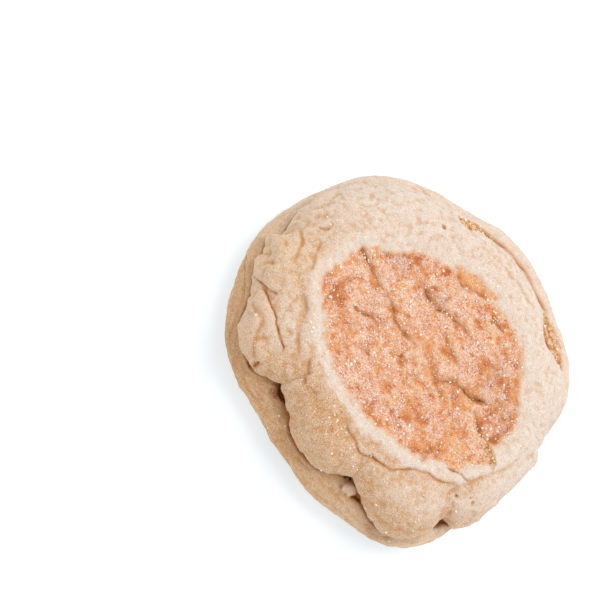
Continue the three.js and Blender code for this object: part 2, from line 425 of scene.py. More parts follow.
def lap(path, high, low, reach_high=4.0, reach_low=3.0, edge=0.45, push=0.5, side=1, groove=0.35, ends=0.15, dark=0.9, seed=0, wander=0.15):
    """A sheet of dough that lies over its neighbour along the path. side = 1: the dough on the left of the path is on top."""
    global P, CAVITY
    pts = path_points(path)
    if wander and len(pts) > 2:
        pts = pts + wander * np.stack([noise(pts / 1.9 + 31.7 * c, 400 + seed) for c in range(3)], -1)
    reach = max(reach_high, reach_low) * 2.2
    idx = near(pts, reach)
    if not len(idx):
        return
    u, t, left = along(pts, idx, N0)
    keep = np.abs(u) < reach
    idx, u, t, left = idx[keep], u[keep] * side, t[keep], left[keep] * side
    tap = smooth(np.minimum(t, 1 - t), -0.02, ends)
    # beyond the path's ends the distance runs round its tips, where nothing may rise or sink
    tap = tap * (0.8 + 0.4 * noise(P0[idx] / 3.4, 77 + seed))
    on = 0.5 * (1 + np.tanh(u / edge))
    out = on * high * np.exp(-(np.maximum(u, 0) / reach_high) ** 2) - (1 - on) * low * np.exp(-(np.maximum(-u, 0) / reach_low) ** 2)
    out -= groove * np.exp(-(((u + 0.8 * edge) / (0.9 * edge)) ** 2))
    P[idx] += N0[idx] * (out * tap)[:, None]
    P[idx] -= left * (push * tap * on * np.exp(-(np.maximum(u, 0) / 1.3) ** 2))[:, None]
    CAVITY[idx] = np.maximum(CAVITY[idx], dark * tap * np.exp(-(((u + 0.75 * edge) / (0.95 * edge)) ** 2)))


def pillow(path, radius, height, power=2.6, lo=10.6, hi=12.0):
    """A swollen lobe along a path; it fades towards the lip, whose outline is set by the lobes above."""
    global P
    pts = path_points(path)
    idx = near(pts, radius * 2.2)
    u, t, _ = along(pts, idx, N0)
    P[idx] += N0[idx] * (height * np.exp(-(np.abs(u) / radius) ** power) * smooth(STA[idx], lo, hi))[:, None]


def hole(path, radius, depth, dark=1.0, tear=0.0, rough=0.3, seed=0, taper=0.25, edge_dark=0.0):
    """An open hole or slot along a path."""
    global P, CAVITY, TEAR
    pts = path_points(path, 0.4)
    idx = near(pts, radius * 3)
    u, t, _ = along(pts, idx, N0)
    w = radius * (0.45 + 0.55 * smooth(np.minimum(t, 1 - t), 0, taper)) * (1 + rough * noise(P0[idx] / (0.9 * radius), 210 + seed))
    f = np.exp(-(np.abs(u) / w) ** 3.0)
    P[idx] -= N0[idx] * (depth * f * (1 + rough * noise(P0[idx] / 0.8, 230 + seed)))[:, None]
    CAVITY[idx] = np.maximum(CAVITY[idx], dark * np.minimum(1, f * 1.3))
    if tear:
        TEAR[idx] = np.maximum(TEAR[idx], tear * np.minimum(1, 1.3 * np.exp(-(np.abs(u) / (w * 1.05)) ** 3)))
    # edge_dark: a darker ring at the hole's edge, partly its brown torn rim, partly painted shade
    if edge_dark:
        ring = np.exp(-(((np.abs(u) / w - 0.95) / 0.28) ** 2)) * smooth(noise(P0[idx] / 1.3, 250 + seed), -0.5, 0.3) * (np.abs(u) < 2 * w)
        CAVITY[idx] = np.maximum(CAVITY[idx], edge_dark * ring)


# ---- broad unevenness of the dough, more on the cap's shoulder than on its toasted top
roll_r, lip_r, toast_r, seam_z = outline(DEG)
rad0 = np.hypot(P[:, 0], P[:, 1])
top_side = STA > 12.5
toast_edge = waves(TOAST_EDGE, DEG) + 0.7 * fbm(P, 2.6, 3, 11) + 2.2 * bell(DEG, 341, 3.5) - 0.7 * bell(DEG, 346.2, 1.8) + 2.3 * bell(DEG, 353.5, 6)
inside = toast_edge - rad0                       # mm inside the toasted top's edge
on_foot = 1 - smooth(STA, 1.0, 3.0)
lump = 0.70 * fbm(P, 12.0, 3, 1) + 0.62 * fbm(P, 4.5, 3, 2)
lump *= (1 - 0.65 * smooth(inside, -1.0, 2.5) * top_side) * (1 - on_foot) * (1 - 0.55 * (1 - smooth(STA, 8.3, 10.5)))
P = P + N * lump[:, None]

# swollen lobes of the cap
pillow([(262, 12.3), (272, 12.6), (284, 12.6), (293, 12.3)], 6.6, 1.7)
pillow([(306, 12.3), (315, 12.8), (325, 12.9)], 6.4, 1.5)
pillow([(249, 12.2), (256, 12.4)], 4.5, 0.9, power=2.0)
pillow([(346, 12.7), (356, 12.9), (12, 12.9)], 6.3, 0.9)
pillow([(227, 12.0), (233, 12.1), (241, 12.0)], 3.8, 1.5)
pillow([(201, 12.4), (210, 12.6), (217, 12.8)], 4.2, 1.1)
pillow([(228, 13.4), (240, 13.3)], 3.6, 0.5)
pillow([(30, 12.9), (52, 13.1), (75, 13.2)], 6.0, 0.6)
pillow([(98, 13.0), (120, 13.0)], 6.0, 0.5)
pillow([(145, 12.9), (170, 12.9)], 6.5, 0.7)

# raised floury rim round the toasted top, and the top itself pressed a little lower
rim = 0.30 + 0.65 * bell(DEG, 268, 62) + 0.35 * bell(DEG, 205, 25)
rise = rim * np.exp(-((inside + 2.8) / 2.3) ** 2) - 0.45 * smooth(inside, -1.2, 2.2)
P[:, 2] += np.where(top_side, rise, 0.0)
# the top is not quite flat: broad shallow hollows and low swells between its creases
press = smooth(inside, 0.0, 4.0) * top_side
swell = fbm(P0 @ np.array([[0.72, 0.42, 0], [-0.50, 1.15, 0], [0, 0, 1.0]]), 5.6, 3, 71, 0.55)
P[:, 2] += press * (0.80 * swell + 0.15 * fbm(P0, 2.0, 2, 73))
N = normals(P, TRI)
N0 = N.copy()

# ---- the ridge's outer step, and the crease where it lies over the lobes
lap([(203, 13.9), (213, 14.0), (226, 14.2), (238, 13.85), (247, 13.35), (254, 13.1), (265, 13.1), (276, 13.5), (287, 13.65)], 0.30, 0.38,
    3.0, 4.0, edge=1.3, push=0.2, groove=0.0, dark=0.0)
lap([(283, 13.75), (288, 13.66), (292, 13.56), (296, 13.25), (299, 13.26), (304, 13.54), (309, 13.76), (312, 13.91), (314.5, 14.24), (319.5, 14.63), (323, 14.7),
     (328, 14.74), (331, 14.5), (334, 14.28), (338, 14.15)], 0.40, 0.38, 3.0, 3.5, edge=0.45, push=0.5, groove=0.45, ends=0.06, seed=1)   # over lobe 2
lap([(293.5, 13.45), (295.3, 13.42), (297.3, 13.13), (298.7, 12.83), (299.6, 12.51), (299.7, 12.24), (300.0, 11.6), (301, 10.9)], 0.25, 0.4, 3.0, 3.6, edge=1.5, push=0.05,
    side=-1, groove=0.0, ends=0.08, dark=0.0, seed=2)                                                                                # lobe 1 over lobe 2
lap([(336, 15.06), (340, 15.0), (342.5, 14.7), (343.6, 14.32), (346, 14.1)], 0.35, 0.3, 2.0, 2.0, edge=0.4, push=0.4, groove=0.35, seed=3)
fold([(297.3, 13.13), (298.7, 12.83), (299.6, 12.51), (299.7, 12.24), (300.0, 11.6), (300.7, 11.1)], 0.42, 0.12, soft=True, dark=2.6, ends=0.1)
# ---- flaps at the left
lap([(219.5, 11.8), (220.2, 11.97), (224.6, 12.42), (228.9, 12.76), (232.4, 12.86), (236.1, 12.91), (237.6, 12.93), (242.5, 12.85)], 0.65, 0.65, 2.6, 3.2,
    edge=0.4, push=0.8, side=-1, groove=0.7, ends=0.06, dark=1.0, seed=4)                                                            # pillow's right rim
lap([(213.4, 11.0), (214.7, 11.40), (216.0, 11.71), (217.6, 12.09), (218.9, 12.39), (220.4, 12.75)], 0.45, 0.5, 2.2, 2.2, edge=0.35, push=0.5, side=1, groove=0.6,
    ends=0.08, seed=5)
fold([(225.4, 11.8), (227.6, 12.07), (229.8, 12.32), (230.6, 12.50), (233.4, 12.44), (235.4, 12.31), (238.5, 12.14), (241.0, 11.93), (243.0, 11.7)], 0.50, 0.70, lift=0.15, dark=0.85, ends=0.1, wander=0.12, seed=334)
fold([(224.5, 11.7), (226.5, 12.0), (228.8, 12.33), (230.5, 12.5)], 0.8, 0.5, soft=True, dark=0.9)
fold([(192.5, 13.2), (194.2, 13.34), (196.8, 13.52), (199.9, 13.67), (202.9, 13.80), (205.6, 13.83), (208.6, 13.90)], 0.42, 0.6, dark=1.2, wander=0.15, seed=331)
fold([(194.0, 12.1), (194.8, 12.33), (197.4, 12.69), (199.9, 12.91), (202.3, 12.98), (204.8, 13.00), (206.8, 13.05)], 0.42, 0.65, dark=1.2, wander=0.15, seed=332)
fold([(217.2, 13.7), (218.1, 13.82), (220.2, 13.94), (222.4, 14.06), (226.0, 14.19)], 0.5, 0.35, over=1, lift=0.15, push=0.1, dark=0.5)
fold([(217.6, 13.7), (222.3, 13.9), (226.5, 13.95), (234.3, 13.75), (240.9, 13.45), (247.3, 13.0)], 1.0, 0.35, soft=True, dark=0.10)
fold([(233.5, 13.80), (235.4, 13.77), (242.3, 13.56), (245.4, 13.31)], 0.40, 0.45, lift=0.15, dark=1.3, wander=0.15, seed=333)
lap([(246.7, 13.81), (251.1, 13.40), (255.0, 12.99), (258.5, 12.7)], 0.45, 0.4, 2.4, 2.6, edge=0.5, push=0.3, groove=0.45, dark=0.6, seed=6)
fold([(244.2, 11.9), (245.2, 11.5), (246.4, 10.6)], 0.5, 0.9, over=1, lift=0.3, dark=1.25)
fold([(189.4, 12.75), (188.9, 12.81), (188.2, 12.96), (187.1, 13.09), (186.5, 13.15)], 0.4, 0.6, over=1, lift=0.4, push=0.3, dark=0.6)
hole([(191.4, 8.6), (193.2, 8.5), (194.6, 8.5)], 0.8, 1.3, dark=0.85, seed=12)
for n, (at, st) in enumerate([(203, 12.0), (207, 12.4), (211, 12.1), (216, 12.6), (222, 13.3), (227, 13.1), (233, 13.3), (231, 11.9), (238, 12.3), (246, 12.6),
                              (250, 12.2), (209, 13.4), (256, 13.3), (265, 12.9), (281, 12.9), (200, 12.2)]):
    if n in (0, 1, 11, 12):
        continue
    fold([(at, st), (at + 2.4 * math.cos(n * 2.1), st + 0.22), (at + 4.5 * math.cos(n * 2.1 + 0.5), st + 0.45 * math.cos(n * 1.3))], 0.6, 0.35 + 0.1 * (n % 3),
         over=(-1) ** n, lift=0.22, push=0.15, dark=0.45, ends=0.4, seed=60 + n)
pillow([(199.8, 11.2), (202.5, 11.9), (206, 12.4)], 2.2, 0.45, lo=10.3, hi=11.0)
pillow([(209.3, 11.2), (211, 11.8)], 2.0, 0.4, lo=10.3, hi=11.0)
# ---- the lobe at the lower right
lap([(336.0, 14.1), (337.6, 14.08), (341.0, 13.99), (344.2, 14.06), (347.5, 14.16), (350.9, 14.17), (355.0, 13.99), (359.3, 13.84), (2.9, 13.70)],
    0.35, 0.45, 3.0, 3.0, edge=0.7, push=0.3, groove=0.2, dark=0.3, seed=7, ends=0.12)
lap([(356.0, 13.95), (359.3, 13.84), (2.9, 13.70), (8.5, 13.45), (13.0, 13.05), (16.4, 12.57)], 0.25, 0.30, 3.0, 3.0, edge=0.8, push=0.15, groove=0.06, dark=0.08, seed=17, ends=0.12)
hole([(359.5, 15.2), (357.9, 15.07), (357.3, 14.77), (356.0, 14.23)], 0.95, 0.8, dark=0.15, tear=0.9, rough=0.4, seed=13, edge_dark=0.6)
fold([(340.2, 13.95), (339.3, 13.69), (336.6, 13.29), (335.7, 12.91), (335.0, 12.57), (334.6, 12.0), (334.6, 11.2)], 0.9, 0.45, dark=0.1, ends=0.1, soft=True)
hole([(339.4, 13.23)], 0.42, 0.9)
hole([(345.1, 12.84)], 0.55, 0.7, dark=0.6)
hole([(344.3, 13.12)], 0.35, 0.5, dark=0.6)
hole([(134.2, 13.16), (135.4, 13.05)], 0.55, 0.8, dark=0.7)
fold([(100.5, 12.89), (90.3, 12.88), (81.0, 12.75), (74, 12.6)], 1.1, 0.45, soft=True, dark=0.25)
fold([(137, 12.3), (135, 12.9)], 0.8, 0.35, soft=True, dark=0.3)

# ---- holes and open slots of the seam
hole([(252.6, 9.0), (255, 8.4), (258, 8.25), (260.5, 8.4)], 1.3, 2.4, dark=1.1, seed=1)
hole([(252.6, 8.0), (255.2, 7.7), (258.2, 7.7)], 0.9, 0.7, dark=0.6, tear=0.45, rough=0.7, seed=41)
hole([(299.4, 8.0), (301.0, 7.92), (302.4, 8.2)], 0.66, 1.6, dark=1.35, rough=0.2, seed=2)
hole([(305.2, 7.5), (306.3, 7.85), (307.9, 8.2), (308.9, 8.36)], 0.55, 1.3, dark=1.3, seed=3)
hole([(336.6, 7.05), (337.8, 7.25), (338.7, 7.7), (339.3, 8.3)], 1.25, 1.6, dark=1.5, rough=0.2, seed=4, taper=0.1)
hole([(243, 8.3), (245, 8.2)], 0.7, 1.0, dark=0.9, seed=5)
hole([(126.8, 12.0), (124.9, 12.2), (122.6, 12.22), (119.8, 12.15), (117.0, 11.95), (114.0, 11.62), (111.2, 11.3), (108.0, 11.2)], 1.95, 1.1, dark=0.2, tear=1.0, rough=0.45,
     seed=6, taper=0.15, edge_dark=0.62)
hole([(117.5, 7.9), (113.6, 7.78), (110.7, 7.5), (107.6, 7.35)], 0.85, 0.9, dark=0.85, tear=0.5, rough=0.3, seed=9)
hole([(72.0, 7.2), (67.5, 7.0), (62.3, 6.85), (57.5, 6.8), (53.5, 6.95)], 1.95, 1.6, dark=0.25, tear=1.0, rough=0.35, seed=7, edge_dark=0.55)
hole([(70.5, 7.65), (66.5, 7.42), (61.8, 7.28), (57.5, 7.22), (54.0, 7.3)], 0.75, 1.0, dark=1.15, rough=0.3, seed=8)
fold([(108.6, 7.4), (103.6, 7.32), (100.5, 7.36), (96.2, 7.35), (92.9, 7.36), (89.7, 7.38), (86.1, 7.41), (81.9, 7.40), (77.3, 7.24), (73.2, 6.90)], 0.9, 0.8, soft=True, dark=1.3,
     ends=0.03, wander=0.25, seed=31)
fold([(99.6, 12.15), (97.5, 12.05), (95.0, 11.9)], 0.6, 0.35, dark=0.35)
fold([(91.5, 12.6), (90.2, 12.69), (85.0, 12.70), (79.8, 12.67), (76, 12.6)], 0.8, 0.35, soft=True, dark=0.35)
pillow([(302.6, 7.52), (303.8, 7.80), (304.6, 7.95)], 1.4, 2.5, power=5.0, lo=-2, hi=-1)                                                                       # nub between two holes
fold([(300.1, 7.38), (300.8, 7.10), (302.5, 7.10), (304.0, 7.18)], 0.30, 0.55, dark=1.9)
lap([(203, 5.0), (207.5, 5.52), (210.8, 6.23), (213.6, 6.58), (216.8, 6.88), (221, 7.1)], 0.35, 0.4, 1.6, 1.8, edge=0.45, push=0.2, groove=0.5, dark=0.85, seed=8)
fold([(206.0, 6.4), (207.5, 6.65), (212.6, 7.8), (216.0, 8.1)], 0.35, 0.4, over=1, lift=0.15, dark=1.1, wander=0.15, seed=335)
fold([(229.0, 6.7), (230.8, 6.39), (235.2, 5.29)], 0.35, 0.4, over=-1, lift=0.15, dark=1.0, wander=0.15, seed=336)
lap([(233, 5.6), (243, 5.9), (252, 5.9), (258, 5.6)], 0.22, 0.2, 1.8, 1.8, edge=0.6, push=0.1, groove=0.2, dark=0.2, seed=9)
lap([(284, 5.3), (297, 5.7), (312, 5.6), (324, 5.2)], 0.22, 0.2, 1.8, 1.8, edge=0.6, push=0.1, groove=0.2, dark=0.2, seed=10)

# ---- small creases and lumps of the roll, set by chance
sown = np.random.default_rng(41)
for n in range(26):
    at, st = 228 + 108 * (n + 0.9 * sown.random()) / 26, 4.7 + 2.6 * sown.random()
    run, tilt = 2.5 + 4.5 * sown.random(), sown.normal(0, 0.28)
    fold([(at, st), (at + 0.5 * run, st + 0.4 * tilt + 0.05), (at + run, st + tilt)], 0.30 + 0.3 * sown.random(), 0.20 + 0.25 * sown.random(),
         over=int(sown.choice([-1, 1])), lift=0.16, push=0.1, dark=0.36, ends=0.4, wander=0.2, seed=600 + n)
for n in range(34):
    dent((226 + 112 * (n + 0.9 * sown.random()) / 34, 4.6 + 3.0 * sown.random()), 0.8 + 1.1 * sown.random(), -0.16 - 0.22 * sown.random(), stretch=1.0 + 0.9 * sown.random())

# ---- sides that the camera does not see: the same kind of folds, set by chance
chance = np.random.default_rng(29)
for n in range(17):
    at = 18 + 172 * (n + 0.8 * chance.random()) / 17
    if 104 < at < 130 or 52 < at < 75:
        continue
    lean = chance.normal(0, 3.5)
    top = 11.0 + 0.5 * chance.random()
    fold([(at, 10.4), (at + lean * 0.4, 11.3), (at + lean, top)], 0.6 + 0.35 * chance.random(), 0.5 + 0.7 * chance.random(),
         over=int(chance.choice([-1, 1])), lift=0.35, push=0.3, dark=0.6, ends=0.3, seed=100 + n)
for n in range(9):
    at = 84 + 104 * (n + 0.7 * chance.random()) / 9
    lean = chance.normal(0, 5)
    fold([(at, 7.8), (at + lean * 0.5, 6.9), (at + lean, 5.9 + 0.6 * chance.random())], 0.7 + 0.4 * chance.random(), 0.25 + 0.3 * chance.random(),
         over=int(chance.choice([-1, 1])), lift=0.2, push=0.2, dark=0.4, ends=0.3, seed=140 + n)
for n in range(9):
    at = 12 + 168 * (n + 0.6 * chance.random()) / 9
    hole([(at, 8.9 + 0.3 * chance.random()), (at + 2 + 3 * chance.random(), 8.8)], 0.8 + 0.5 * chance.random(), 1.2 + chance.random(), dark=1.0,
         rough=0.4, seed=20 + n)

# ---- the toasted top
fold([(181.6, 14.75), (181.9, 15.10), (182.2, 15.24), (183.6, 15.44), (184.8, 15.62), (186.4, 15.81)], 0.7, 1.35, over=1, lift=0.4, push=0.3, ends=0.1, dark=1.05, wander=0.2, seed=311)
fold([(186.0, 15.78), (185.4, 15.90), (188.0, 16.10), (192.2, 16.27), (197.5, 16.32), (203.8, 16.40), (210.9, 16.55), (223.5, 16.69), (240.9, 16.82)], 0.7, 0.95, over=1,
     lift=0.35, dark=0.95, wander=0.25, seed=312)
fold([(210.6, 15.56), (214.2, 15.67), (214.8, 15.83), (214.5, 15.98), (218.3, 16.12)], 0.6, 1.15, over=-1, lift=0.35, push=0.2, dark=1.15, wander=0.15, seed=313)
fold([(146.6, 15.60), (143.3, 15.80), (139.3, 15.92), (132.0, 16.02), (121.9, 16.07), (107.6, 16.04), (94.4, 16.05), (79.8, 16.01), (67.2, 15.95)], 0.75, 1.05, over=1, lift=0.4, push=0.2, dark=1.0, wander=0.25, seed=314)
fold([(92.2, 16.33), (75.1, 16.46), (54.9, 16.50), (40.5, 16.45), (28.6, 16.35), (23.6, 16.20)], 0.7, 0.85, over=1, lift=0.3, dark=0.85, wander=0.25, seed=315)
fold([(341.0, 16.42), (352.4, 16.35), (2.7, 16.28), (7.9, 16.13), (8.3, 15.95), (10.8, 15.81), (13.8, 15.68), (14.3, 15.54)], 0.75, 1.35, over=1, lift=0.45, push=0.4, ends=0.15, dark=1.35, wander=0.2, seed=316)
fold([(319.2, 16.93), (338.0, 16.78), (343.2, 16.56), (342.5, 16.35), (344.5, 16.04)], 0.75, 0.6, lift=0.15, dark=0.75, wander=0.3, seed=317)
fold([(259.9, 16.35), (276.5, 16.31), (287.7, 16.23)], 0.6, 0.7, dark=0.95, wander=0.3, seed=318)
fold([(79.2, 15.26), (74.0, 15.28), (68.8, 15.26), (65.4, 15.21)], 0.6, 0.9, over=-1, lift=0.35, dark=1.05, wander=0.2, seed=319)
fold([(120.6, 15.05), (117.3, 15.20), (110.9, 15.26), (102.9, 15.23), (96.0, 15.17), (88.6, 15.12)], 0.9, 0.9, over=-1, lift=0.6, push=0.3, dark=0.6, wander=0.3, seed=320)
fold([(6.5, 15.70), (2.7, 15.59), (0.5, 15.47), (359.6, 15.32), (1.4, 15.20), (6.6, 15.03)], 0.75, 1.15, over=-1, lift=0.4, dark=1.1, wander=0.2, seed=321)
fold([(324.0, 15.0), (324.7, 15.07), (326.9, 15.19), (330.5, 15.32), (337.3, 15.44)], 0.7, 0.8, dark=1.0, wander=0.3, seed=322)
hole([(74.5, 15.37)], 0.6, 0.7, dark=0.8)
hole([(270, 16.38)], 0.6, 0.6, dark=0.7)
for n in range(16):
    at, ra = 360 * chance.random(), 15.15 + 1.4 * chance.random()
    fold([(at, ra), (at + chance.normal(0, 9), ra + chance.normal(0, 0.22)), (at + chance.normal(0, 16), ra + chance.normal(0, 0.35))],
         0.55 + 0.4 * chance.random(), 0.25 + 0.3 * chance.random(), lift=0.15, dark=0.5, ends=0.4, seed=170 + n)

# ---- the seam: a tight crease with an uneven edge, painted dark as shade
N1 = normals(P, TRI)
crease = np.exp(-((STA - 8.75) / 0.62) ** 2)
P = P - N1 * (crease * (0.10 + 0.5 * np.abs(fbm(P0, 3.0, 2, 61))))[:, None]
CAVITY = np.maximum(CAVITY, np.clip((0.78 + 0.5 * fbm(P0, 3.5, 2, 66)) * np.exp(-((STA - 9.15) / 0.85) ** 4), 0, 1))
roughen = np.exp(-((STA - 10.3) / 1.3) ** 2)
P = P + N1 * (roughen * (0.30 * fbm(P0, 2.2, 2, 62) + 0.18 * fbm(P0, 1.0, 2, 63)))[:, None]

# ---- the roll's skin is drawn out along its length
stretch = np.stack([46.0 * np.cos(np.radians(DEG)) / 9.0, 46.0 * np.sin(np.radians(DEG)) / 9.0, P0[:, 2] / 1.25], -1)
STREAK = fbm(stretch, 1.0, 3, 81, 0.6)
on_roll = (1 - smooth(STA, 8.1, 8.7)) * smooth(STA, 2.6, 3.6)
P = P + N1 * (on_roll * 0.30 * STREAK)[:, None]

# ---- fine wrinkles everywhere
flat = smooth(inside, -1.0, 2.0) * top_side
wr = ridged(P0 * np.array([1, 1, 1.6]), 3.0, 3, 41)
fine = 0.20 * wr + 0.30 * fbm(P0, 1.8, 3, 43)
fine = fine * (1 - 0.1 * flat) * (1 - on_foot) * (1 - 0.25 * on_roll) + 0.07 * flat * fbm(P0, 0.9, 2, 45)
fine += TEAR * (0.24 * fbm(P0, 1.1, 2, 47))
P = P + N1 * fine[:, None]
P[:, 2] = np.maximum(P[:, 2], 0.0)

# ---- hollows and crests at two scales, for the colour: browner in the hollows as painted shade, flourier on the crests
_e = np.concatenate([TRI[:, [0, 1]], TRI[:, [1, 2]], TRI[:, [2, 0]]])
_cnt = np.bincount(_e[:, 0], minlength=len(P)) + np.bincount(_e[:, 1], minlength=len(P))


def spread(x):
    return (np.bincount(_e[:, 0], weights=x[_e[:, 1]], minlength=len(x)) + np.bincount(_e[:, 1], weights=x[_e[:, 0]], minlength=len(x))) / _cnt


N2 = normals(P, TRI)
soft = P.copy()
hollow = []
for n in range(1, 41):
    soft = np.stack([spread(soft[:, c]) for c in range(3)], -1)
    if n in (6, 40):
        hollow.append(((soft - P) * N2).sum(1))
HOLLOW_S = np.clip(hollow[0] / 0.10, -1, 1)
HOLLOW_L = np.clip(hollow[1] / 0.35, -1, 1) * (1 - 0.65 * bell(DEG, 337.5, 6) * (STA > 10)) * (1 - 0.45 * bell(DEG, 228, 18) * smooth(STA, 13.0, 13.5))

# ---- how much of the sky each point has lost to the dough next to it, 0 to 1
_tree = BVHTree.FromPolygons(P.tolist(), TRI.tolist(), all_triangles=True)
_rng = np.random.default_rng(3)
_u, _a = (np.arange(12) + 0.5) / 12 * 0.92, np.arange(12) * 2.39996
_rays = np.stack([np.sqrt(_u) * np.cos(_a), np.sqrt(_u) * np.sin(_a), np.sqrt(1 - _u)], -1)
_look = np.nonzero((STA > 3.6) & ((P[:, 2] > 1.0)))[0]
_n = N2[_look]
_t = np.cross(_n, np.where(np.abs(_n[:, 2:3]) < 0.9, [[0.0, 0, 1]], [[1.0, 0, 0]]))
_t /= np.linalg.norm(_t, axis=1)[:, None]
_b = np.cross(_n, _t)
_turn = _rng.random(len(_look)) * 2 * math.pi
_t, _b = _t * np.cos(_turn)[:, None] + _b * np.sin(_turn)[:, None], _b * np.cos(_turn)[:, None] - _t * np.sin(_turn)[:, None]
_from = (P[_look] + _n * 0.08).tolist()
LOST = np.zeros(len(P))
REACH = 3.4
for ray in _rays:
    way = (_t * ray[0] + _b * ray[1] + _n * ray[2]).tolist()
    LOST[_look] += [0.0 if d is None else 1.0 - 0.6 * d / REACH for d in (_tree.ray_cast(q, w, REACH)[3] for q, w in zip(_from, way))]
LOST = spread(0.5 * LOST / len(_rays) + 0.5 * spread(LOST / len(_rays)))

# =====================================================================
# masks for the material
# =====================================================================
toast_top = smooth(inside + 0.6 * fbm(P0, 1.6, 2, 91), -1.3, 1.6) * top_side
foot_edge = (roll_r - 13.0 + 1.4 * fbm(P0, 6.0, 3, 12)) - rad0
toast_foot = smooth(foot_edge, -1.2, 2.0) * (STA < 3.2)
TOASTED = np.maximum(toast_top, toast_foot)
is_roll = 1 - smooth(STA, 8.2, 9.0)
front = bell(DEG, 258, 58)
# roll_tan's last term darkens the roll towards its foot: painted shade against the floor's light
roll_tan = 0.18 + 0.72 * front + 0.20 * bell(DEG, 222, 22) + 0.35 * (1 - smooth(P0[:, 2], 1.5, 7.0))
cap_tan = 0.04 + 1.11 * bell(DEG, 268, np.where((DEG > 90) & (DEG < 268), 23, 28)) + 0.12 * bell(DEG, 228, 30) + 0.41 * bell(DEG, 315, 26) + 0.12 * bell(DEG, 190, 30) + 0.22 * bell(DEG, 104, 15)
flank = smooth(STA, 9.2, 10.2) * (1 - smooth(STA, 11.9, 13.1))          # the lip's outer side is browner than the cap
cap_tan = cap_tan * smooth(-inside, 2.0, 5.0) + flank * (0.14 * bell(DEG, 225, 40) + 0.48 * bell(DEG, 290, 48) + 0.35 * bell(DEG, 317, 14) + 0.22 * bell(DEG, 343, 10)) + 0.26 * bell(DEG, 344, 13) * smooth(STA, 12.9, 13.6) * smooth(-inside, 2.0, 3.2)
cap_tan += 0.12 * bell(DEG, 185, 45) * smooth(-inside, 3.0, 6.0)
CREAM = (1 - is_roll) * (0.95 * bell(DEG, 205, 21) + 0.15 * bell(DEG, 232, 14) + 0.35 * bell(DEG, 346, 10)) * smooth(-inside, 1.5, 4.5)      # butter-coloured rather than pink
TAN = np.clip(is_roll * roll_tan + (1 - is_roll) * cap_tan, 0, 1)
# how brown the roll is baked: most at its front left, and darker towards its foot as painted shade against the floor's
# light; then painted shade where the lip overhangs the roll
low_side = 1 - smooth(P0[:, 2], 2.0, 7.5)
BAKED_AND_SHADE = np.clip(is_roll * (0.78 * bell(DEG, 266, np.where((DEG > 266) | (DEG < 86), 72, 60)) + 0.12 * bell(DEG, 218, 24) + 0.12 + 0.05 * bell(DEG, 238, 16) - 0.22 * bell(DEG, 300, 8) + 0.30 * low_side * bell(DEG, 275, 85)) + (1 - is_roll) * 0.30 * bell(DEG, 280, 30) * (1 - smooth(STA, 11.6, 12.8)), 0, 1)
from_lip = np.maximum(rad0 - lip_r, 0.0)
under = np.maximum(smooth(DEG, 236, 262), 0.42 * smooth(DEG, 176, 190)) * (1 - 0.6 * smooth(DEG, 306, 326)) * (1 - smooth(DEG, 335, 352))
LIP_SHADE = np.where(STA < 10.2, np.exp(-(from_lip / 1.0) ** 1.4), 0.0) * (0.20 + 0.80 * under) * (1 + 0.35 * fbm(P0, 3.0, 2, 503))       # painted shade where the lip overhangs the roll
# the nub is painted lighter and the painted shade round it lessened, as is the painted shade at 337.5 degrees
nub = np.exp(-(np.linalg.norm(P0 - surface(np.array([303.7]), np.array([7.78]))[0], axis=1) / 2.0) ** 4)
CAVITY = CAVITY * (1 - 0.7 * nub)
BAKED_AND_SHADE, TAN = BAKED_AND_SHADE * (1 - 0.6 * nub), TAN * (1 - 0.12 * nub)
LIP_SHADE = LIP_SHADE * (1 - nub) * (1 - 0.75 * bell(DEG, 296, 9))
LOST = LOST * (1 - 0.85 * nub) * (1 - 0.45 * bell(DEG, 337.5, 5) * smooth(STA, 10.8, 11.8))


def blots(marks):
    """Soft round spots on the toasted top: (x, y, radius) in mm."""
    wob = P0[:, :2] + 0.9 * np.stack([fbm(P0, 2.5, 2, 501), fbm(P0, 2.5, 2, 502)], -1)
    out = np.zeros(len(P0))
    for x, y, r in marks:
        out = np.maximum(out, np.exp(-(((wob[:, 0] - x) ** 2 + (wob[:, 1] - y) ** 2) / r**2)))
    return out * top_side


BROWNER = blots([(-24.8, -12.8, 2.0), (-21.9, -12.4, 2.6), (-18.7, 11.2, 4.0), (-13.0, 15.3, 2.4), (-10.5, 8.1, 2.0), (29.6, 4.2, 3.4), (24.7, -12.6, 2.2),
                 (20.2, 12.9, 2.6), (8.6, -24.9, 3.2), (14.3, -13.4, 3.2), (13.3, 12.5, 2.2), (23.0, -16.6, 1.4), (24.2, -14.6, 1.5),
                 (12.6, 0.5, 2.6), (16.8, 3.6, 2.2), (24.5, 8.3, 2.4), (6.0, 3.8, 2.0), (15.2, -1.1, 2.8)])
_bank = path_points([(119.5, 14.92), (112, 14.98), (104, 14.98), (96, 14.95), (89, 14.9)], 1.2)      # unfloured golden bank outside the fold at the upper right
BANK = blots([(x, y, 1.3) for x, y, _ in _bank])
GOLDEN = blots([(-16.2, 3.0, 3.0), (28.1, -9.2, 4.2), (2.2, -1.7, 3.5), (4.5, 22.4, 2.6), (-6.7, 20.5, 3.2)])
